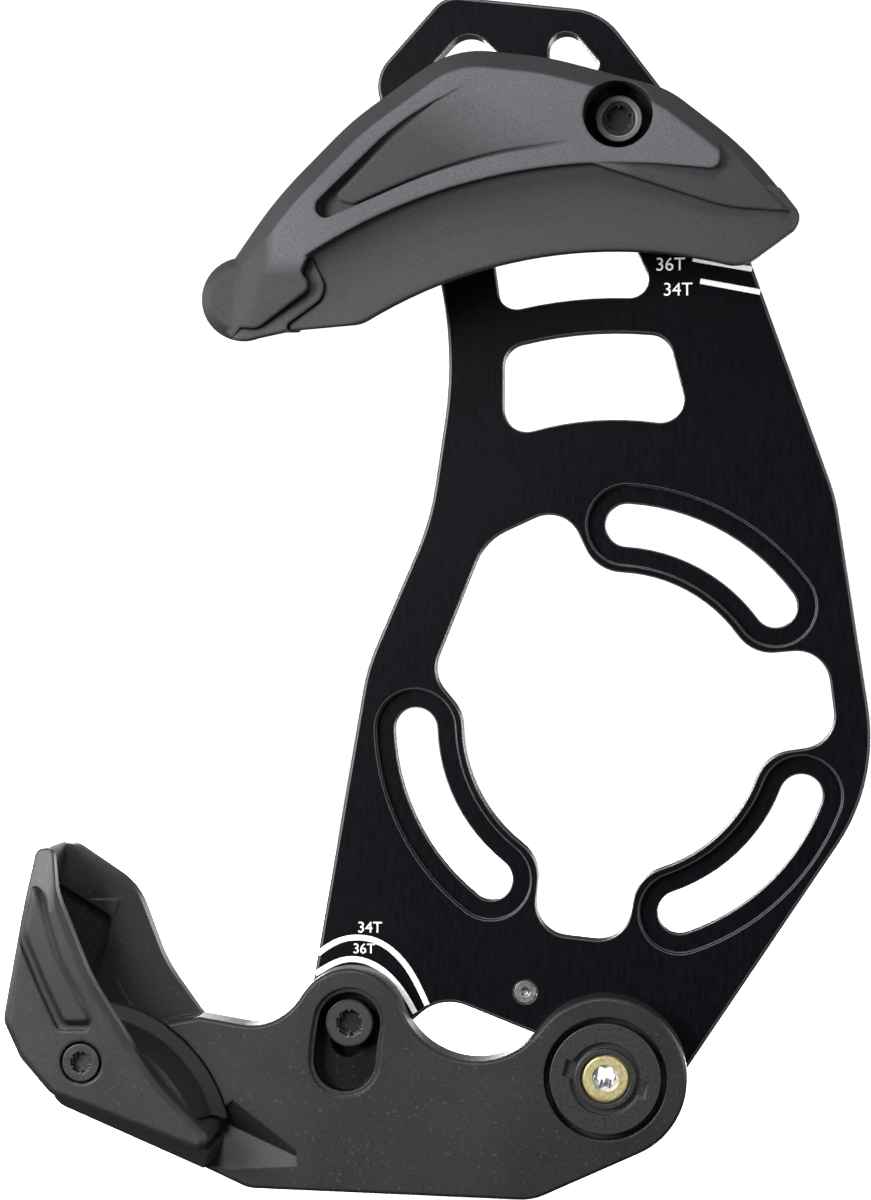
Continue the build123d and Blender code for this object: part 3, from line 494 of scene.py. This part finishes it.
def steel_with_painted_ring(name, node, ring, dark, pale):
    """Blackened steel painted darker as shade of its socket, with a painted highlight ring round
    the screw's own axis.
    """
    roughness = 0.4
    made, tree, shader, coords = material(name, dark, roughness, metallic=0.5)
    low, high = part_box(node)
    centre = tree.nodes.new("ShaderNodeMapping")
    centre.inputs["Location"].default_value = (
        -(low[0] + high[0]) / 2, 0, -(low[2] + high[2]) / 2)
    tree.links.new(coords, centre.inputs["Vector"])
    flat = tree.nodes.new("ShaderNodeVectorMath")
    flat.operation = "MULTIPLY"
    flat.inputs[1].default_value = (1, 0, 1)
    tree.links.new(centre.outputs["Vector"], flat.inputs[0])
    reach = tree.nodes.new("ShaderNodeVectorMath")
    reach.operation = "LENGTH"
    tree.links.new(flat.outputs["Vector"], reach.inputs[0])
    radius = (high[0] - low[0]) / 2
    ramp = tree.nodes.new("ShaderNodeValToRGB")
    tree.links.new(spread(tree, reach.outputs["Value"], 0.0, 1.0, 0.0, radius), ramp.inputs["Fac"])
    stops = ramp.color_ramp.elements
    tones = (dark, dark, pale, pale, dark)
    while len(stops) < len(tones):
        stops.new(0.5)
    for stop, share, tone in zip(stops, (0.0, *ring), tones):
        stop.position = share
        stop.color = (*tone, 1.0)
    tree.links.new(ramp.outputs["Color"], shader.inputs["Base Color"])
    marks = noise(tree, coords, FINE_MARKS, detail=3.0)
    vary_roughness(tree, shader, marks, roughness, TURNED_SHEEN)
    bump(tree, shader, marks, MARK_RELIEF, MARK_DEPTH)
    return made


def printed_ink(colour):
    """Screen-printed white ink, a little uneven."""
    made, tree, shader, coords = material("printed_ink", colour, roughness=0.55)
    grain = noise(tree, coords, INK_GRAIN)
    tree.links.new(tint(tree, grain, colour, INK_TONES), shader.inputs["Base Color"])
    return made


def deselect():
    """Leaves edit mode and selects nothing."""
    if bpy.context.object and bpy.context.object.mode != "OBJECT":
        bpy.ops.object.mode_set(mode="OBJECT")
    bpy.ops.object.select_all(action="DESELECT")


def take(piece):
    """Selects one piece and makes it the active one."""
    deselect()
    piece.select_set(True)
    bpy.context.view_layer.objects.active = piece


def paint(piece, finish):
    """Gives a piece one material."""
    piece.data.materials.clear()
    piece.data.materials.append(finish)


def shift_points(piece, points, step):
    """Moves the points of a piece that have these numbers."""
    take(piece)
    bpy.ops.object.mode_set(mode="EDIT")
    bpy.ops.mesh.select_mode(type="VERT")
    bpy.ops.mesh.select_all(action="DESELECT")
    bpy.ops.object.mode_set(mode="OBJECT")
    for number in points:
        piece.data.vertices[number].select = True
    bpy.ops.object.mode_set(mode="EDIT")
    bpy.ops.transform.translate(value=step)
    bpy.ops.object.mode_set(mode="OBJECT")


def join_points(piece, reach):
    """Joins the points of a piece that lie this close together, and leaves it in edit mode."""
    take(piece)
    bpy.ops.object.mode_set(mode="EDIT")
    bpy.ops.mesh.select_all(action="SELECT")
    bpy.ops.mesh.remove_doubles(threshold=reach)


def nudge(piece, moves):
    """Moves single points, each the nearest to its place, and joins those that meet."""
    for place, step in moves:
        corner = Vector(place) * MM
        nearest = min(piece.data.vertices, key=lambda point: (point.co - corner).length)
        shift_points(piece, [nearest.index], Vector(step) * MM)
        join_points(piece, MOVED_POINT)
        bpy.ops.object.mode_set(mode="OBJECT")


def relieve(piece, gap):
    """Lifts a piece's sliding face off the plate's front, so that it clears the ink."""
    sliding = [point.index for point in piece.data.vertices
               if abs(point.co.y - PLATE_FRONT) < ON_PLATE]
    shift_points(piece, sliding, (0, -gap, 0))


def rounded_copy(node, name, finish, width, moves=(), highlit=None):
    """Copy of a CAD node with joined triangles, rounded edges and smoothly shaded curves.

    Single points are moved by moves, and the rounded edges get the second material, which paints a
    highlight on them.
    """
    take(frame["nodes"][node])
    body = frame["nodes"][node]["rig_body"]
    bpy.ops.object.duplicate()
    piece = bpy.context.object
    piece.name = name
    piece.data.name = name
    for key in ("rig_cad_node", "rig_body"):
        del piece[key]
    piece.parent = None
    join_points(piece, SAME_POINT)
    bpy.ops.mesh.dissolve_limited(angle_limit=FLAT_ANGLE)
    bpy.ops.object.mode_set(mode="OBJECT")
    nudge(piece, moves)
    paint(piece, finish)
    rounding = piece.modifiers.new("rounding", "BEVEL")
    if highlit:
        piece.data.materials.append(highlit)
        rounding.material = 1
    rounding.width = width
    rounding.segments = EDGE_SEGMENTS
    rounding.limit_method = "ANGLE"
    rounding.angle_limit = EDGE_ANGLE
    rounding.use_clamp_overlap = True
    bpy.ops.object.modifier_apply(modifier=rounding.name)
    bpy.ops.object.shade_smooth_by_angle(angle=SMOOTH_ANGLE)
    flats = piece.modifiers.new("flat_faces", "WEIGHTED_NORMAL")
    flats.keep_sharp = True
    bpy.ops.object.modifier_apply(modifier=flats.name)
    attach(piece, body)
    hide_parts(node)
    return piece


class GUIDE_OT_plate(bpy.types.Operator):
    """Finish the back plate and its pin"""

    bl_idname = "chain_guide.plate"
    bl_label = "Back plate"

    def execute(self, context):
        look = context.scene.guide_plate
        metal = context.scene.guide_metal
        # Painted highlight on the plate's rounded edges.
        highlit = turned_metal("plate_edge_highlight", look.edge_highlight_colour, roughness=0.45, metallic=0.3)
        rounded_copy("back_plate", "plate_body", anodised_plate(look), look.edge,
                     highlit=highlit)
        pin = turned_metal("dull_pin_steel", metal.pin_colour, roughness=0.42, metallic=0.9)
        rounded_copy("stop_pin", "plate_pin", pin, metal.pin_edge)
        return {"FINISHED"}


class GUIDE_OT_upper(bpy.types.Operator):
    """Finish both halves of the upper guide"""

    bl_idname = "chain_guide.upper"
    bl_label = "Upper guide"

    def execute(self, context):
        look = context.scene.guide_moulding
        # Painted shade: the shell darkens behind its raised face and towards its tail.
        unshaded_crest = (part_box("upper_guide_outer")[0][1] + SHADE_START, look.tail_shade_top)
        shell = moulded_nylon("guide_nylon", look, look.guide_colour, roughness=0.62,
                              softness=look.softness, unshaded_crest=unshaded_crest, gloss=0.2)
        # Painted shade: the inner cheek is a darker copy of the guide grey.
        shaded_cheek = moulded_nylon("cheek_shade_nylon", look, scaled(look.guide_colour, look.recess_shade),
                              roughness=0.6, softness=look.softness)
        rounded_copy("upper_guide_outer", "upper_shell", shell, look.edge,
                     FINGER_TRIM)
        inner = rounded_copy("upper_guide_inner", "upper_inner_cheek", shaded_cheek, look.edge,
                             HOOK_TRIM)
        relieve(inner, look.running_gap)
        return {"FINISHED"}


def paint_well_shade(lever, well):
    """Paints shade on the floor of the well round the clamp screw, as a darker copy of the arm's
    material.
    """
    lever.data.materials.append(well)
    head_low, head_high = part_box("arm_clamp_screw")
    for face in lever.data.polygons:
        x, y, z = face.center
        beside = head_low[0] - WELL_SIDE < x < head_high[0] + WELL_SIDE
        level = head_low[2] - WELL_BELOW < z < head_high[2] + WELL_SIDE
        if beside and level and y > head_low[1] + WELL_BEHIND:
            face.material_index = 1


class GUIDE_OT_lower(bpy.types.Operator):
    """Finish the lower arm, its cover and the chain slider"""

    bl_idname = "chain_guide.lower"
    bl_label = "Lower guide"

    def execute(self, context):
        look = context.scene.guide_moulding
        arm = moulded_nylon("arm_nylon", look, look.arm_colour, roughness=0.44,
                            softness=look.softness / 2)
        cover = moulded_nylon("cover_nylon", look, look.cover_colour, roughness=0.45,
                              softness=look.softness)
        slider = moulded_nylon("slider_nylon", look, look.slider_colour, roughness=0.55,
                               softness=look.softness / 2, gloss=0.22)
        lever = rounded_copy("lower_arm", "swing_arm", arm, look.edge)
        relieve(lever, look.running_gap)
        # Painted shade: the well's floor gets a darker copy of the arm's nylon.
        well = moulded_nylon("well_shade_nylon", look, scaled(look.arm_colour, WELL_SHADE_TONE),
                             roughness=0.5, softness=look.edge, gloss=0.1)
        paint_well_shade(lever, well)
        rounded_copy("lower_guide_cover", "slider_cover", cover, look.edge)
        rounded_copy("chain_slider", "slider_block", slider, look.edge)
        return {"FINISHED"}


class GUIDE_OT_fasteners(bpy.types.Operator):
    """Finish the screws, nuts, sleeve and pivot pieces"""

    bl_idname = "chain_guide.fasteners"
    bl_label = "Fasteners"

    def execute(self, context):
        look = context.scene.guide_metal
        black = turned_metal("black_oxide_steel", look.oxide_colour, roughness=0.4, metallic=0.5)
        # Painted light: the guide bolt and clamp screw get socket shade and a painted highlight
        # ring.
        bolt = steel_with_painted_ring("guide_bolt_steel", "upper_guide_bolt", BOLT_HIGHLIGHT_RING,
                            look.socket_shade_colour, look.bolt_ring_highlight)
        clamp = steel_with_painted_ring("clamp_screw_steel", "arm_clamp_screw", CLAMP_HIGHLIGHT_RING,
                             look.socket_shade_colour, look.clamp_ring_highlight)
        bright = turned_metal("bright_steel", look.steel_colour, roughness=0.42, metallic=0.6)
        brass = turned_metal("turned_brass", look.brass_colour, roughness=0.42, metallic=0.7)
        flange = turned_metal("black_turned_flange", look.flange_colour, roughness=0.4,
                              metallic=0.2)
        for node, name, finish, slot in (
            ("arm_clamp_screw", "clamp_screw", clamp, "black_steel"),
            ("lower_guide_screw", "cover_screw", black, "black_steel"),
            ("upper_guide_bolt", "guide_bolt", bolt, "black_steel"),
            ("upper_guide_nut", "guide_nut", black, "black_steel"),
            ("upper_guide_sleeve", "guide_sleeve", bright, "bright_steel"),
            ("lower_guide_insert", "cover_insert", brass, "brass"),
            ("pivot_flange", "pivot_dish", flange, "black_anodised"),
            ("pivot_nut", "pivot_eyelet", brass, "brass"),
            ("pivot_bolt", "pivot_hollow_bolt", bright, "bright_steel"),
        ):
            rounded_copy(node, name, finish, look.edge)
        return {"FINISHED"}


def flat_line(name, points, width, film, ink):
    """Printed line through points of x and z on the plate's front, as a flattened tube."""
    deselect()
    bpy.ops.curve.primitive_nurbs_path_add(enter_editmode=False)
    piece = bpy.context.object
    piece.name = name
    curve = piece.data
    curve.splines.clear()
    spline = curve.splines.new("NURBS")
    spline.points.add(len(points) - 1)
    for point, (x, z) in zip(spline.points, points):
        point.co = (x * MM, 0, z * MM, 1.0)
    spline.order_u = min(CUBIC, len(points))
    spline.use_endpoint_u = True
    curve.bevel_depth = width * MM / 2
    curve.bevel_resolution = LINE_ROUNDNESS
    curve.use_fill_caps = True
    take(piece)
    bpy.ops.object.convert(target="MESH")
    piece = bpy.context.object
    piece.scale = (1, film / (width * MM), 1)
    piece.location = (0, PLATE_FRONT, 0)
    bpy.ops.object.transform_apply(location=True, rotation=True, scale=True)
    paint(piece, ink)
    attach(piece, "plate")


def print_number(name, text, x, z, height, film, ink):
    """Printed tooth count on the plate's front, its lower left corner at x and z."""
    deselect()
    bpy.ops.object.text_add(location=(0, 0, 0))
    piece = bpy.context.object
    piece.name = name
    piece.data.body = text
    piece.data.size = height / CAP_SHARE
    piece.data.extrude = film / 2
    take(piece)
    bpy.ops.object.convert(target="MESH")
    piece = bpy.context.object
    piece.rotation_euler = (math.pi / 2, 0, 0)
    piece.location = (x * MM, PLATE_FRONT, z * MM)
    bpy.ops.object.transform_apply(location=True, rotation=True, scale=True)
    paint(piece, ink)
    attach(piece, "plate")


class GUIDE_OT_marks(bpy.types.Operator):
    """Print the tooth-count marks that both guides are set to"""

    bl_idname = "chain_guide.marks"
    bl_label = "Tooth-count marks"

    def execute(self, context):
        look = context.scene.guide_marks
        ink = printed_ink(look.ink)
        for name, width, points in SETTING_LINES:
            flat_line(name, points, width, look.film, ink)
        for name, text, x, z, share in TOOTH_COUNTS:
            print_number(name, text, x, z, look.letter_height * share, look.film, ink)
        return {"FINISHED"}


def lay_floor(colour):
    """Pale floor that sweeps up into a backdrop and isn't mirrored in the part."""
    deselect()
    bpy.ops.mesh.primitive_plane_add(
        size=1.0, location=(0, FLOOR_MIDDLE, CAD_BOX[0][2] - FLOOR_DROP))
    floor = bpy.context.object
    floor.name = "floor"
    bpy.ops.object.mode_set(mode="EDIT")
    bpy.ops.mesh.select_all(action="SELECT")
    bpy.ops.transform.resize(value=FLOOR_SIZE)
    bpy.ops.mesh.select_all(action="DESELECT")
    bpy.ops.object.mode_set(mode="OBJECT")
    rear = max(v.co.y for v in floor.data.vertices)
    for edge in floor.data.edges:
        edge.select = all(floor.data.vertices[i].co.y > rear - MM for i in edge.vertices)
    bpy.ops.object.mode_set(mode="EDIT")
    bpy.ops.mesh.select_mode(type="EDGE")
    bpy.ops.mesh.extrude_region_move(TRANSFORM_OT_translate={"value": (0, 0, BACKDROP_HEIGHT)})
    bpy.ops.object.mode_set(mode="OBJECT")
    sweep = floor.modifiers.new("sweep", "BEVEL")
    sweep.width = SWEEP_RADIUS
    sweep.segments = SWEEP_SEGMENTS
    sweep.limit_method = "ANGLE"
    bpy.ops.object.modifier_apply(modifier=sweep.name)
    bpy.ops.object.shade_smooth()
    pale, tree, shader, coords = material("pale_floor", colour, roughness=0.7)
    cloud = noise(tree, coords, FLOOR_CLOUD)
    tree.links.new(tint(tree, cloud, colour, FLOOR_TONES), shader.inputs["Base Color"])
    shader.inputs["Emission Color"].default_value = (*WHITE, 1.0)
    shader.inputs["Emission Strength"].default_value = FLOOR_GLOW
    paint(floor, pale)
    floor.visible_diffuse = False
    floor.visible_glossy = False


def white_world():
    """World that is white to the camera and lights the part only a little."""
    world = bpy.data.worlds.new("studio_world")
    world.use_nodes = True
    tree = world.node_tree
    background = tree.nodes["Background"]
    background.inputs["Color"].default_value = (*WHITE, 1.0)
    seen = tree.nodes.new("ShaderNodeLightPath").outputs["Is Camera Ray"]
    tree.links.new(spread(tree, seen, WORLD_ON_PART, WORLD_SEEN, 0.0, 1.0),
                   background.inputs["Strength"])
    return world


def towards(place):
    """Rotation of a lamp or camera at a place that looks at the aim point."""
    return (AIM - Vector(place)).to_track_quat("-Z", "Y").to_euler()


def soft_light(name, place, size, power):
    """Large square lamp that looks at the aim point."""
    bpy.ops.object.light_add(type="AREA", location=place)
    lamp = bpy.context.object
    lamp.name = name
    lamp.data.size = size
    lamp.data.energy = power
    lamp.rotation_euler = towards(place)


class GUIDE_OT_stage(bpy.types.Operator):
    """Set up the pale floor, the studio light and the camera"""

    bl_idname = "chain_guide.stage"
    bl_label = "Studio"

    def execute(self, context):
        look = context.scene.guide_stage
        lay_floor(look.floor_colour)
        context.scene.view_settings.view_transform = "Standard"
        context.scene.world = white_world()
        for lamp in LAMPS:
            soft_light(*lamp)
        eye = AIM + look.distance * Vector((math.sin(look.turn), -math.cos(look.turn), 0))
        bpy.ops.object.camera_add(location=eye)
        camera = context.object
        camera.name = "studio_camera"
        camera.rotation_euler = towards(eye)
        camera.data.sensor_fit = "VERTICAL"
        camera.data.sensor_height = SENSOR_HEIGHT
        camera.data.lens = look.lens
        camera.data.clip_start = CLIP_START
        context.scene.camera = camera
        return {"FINISHED"}


STEPS = (GUIDE_OT_plate, GUIDE_OT_upper, GUIDE_OT_lower, GUIDE_OT_fasteners, GUIDE_OT_marks,
         GUIDE_OT_stage)
LOOKS = {
    "guide_plate": PlateLook,
    "guide_moulding": MouldingLook,
    "guide_metal": MetalLook,
    "guide_marks": MarkLook,
    "guide_stage": StageLook,
}


class GUIDE_PT_panel(bpy.types.Panel):
    """Steps that dress the chain guide"""

    bl_idname = "GUIDE_PT_panel"
    bl_label = "Chain guide"
    bl_space_type = "VIEW_3D"
    bl_region_type = "UI"
    bl_category = "Chain guide"

    def draw(self, context):
        for step in STEPS:
            self.layout.operator(step.bl_idname)


def register():
    for look in LOOKS.values():
        bpy.utils.register_class(look)
    for name, look in LOOKS.items():
        setattr(bpy.types.Scene, name, bpy.props.PointerProperty(type=look))
    for step in STEPS:
        bpy.utils.register_class(step)
    bpy.utils.register_class(GUIDE_PT_panel)


def unregister():
    bpy.utils.unregister_class(GUIDE_PT_panel)
    for step in reversed(STEPS):
        bpy.utils.unregister_class(step)
    for name, look in LOOKS.items():
        delattr(bpy.types.Scene, name)
        bpy.utils.unregister_class(look)


def main():
    register()
    bpy.ops.chain_guide.plate()
    bpy.ops.chain_guide.upper()
    bpy.ops.chain_guide.lower()
    bpy.ops.chain_guide.fasteners()
    bpy.ops.chain_guide.marks()
    bpy.ops.chain_guide.stage()


if __name__ == "__main__":
    main()
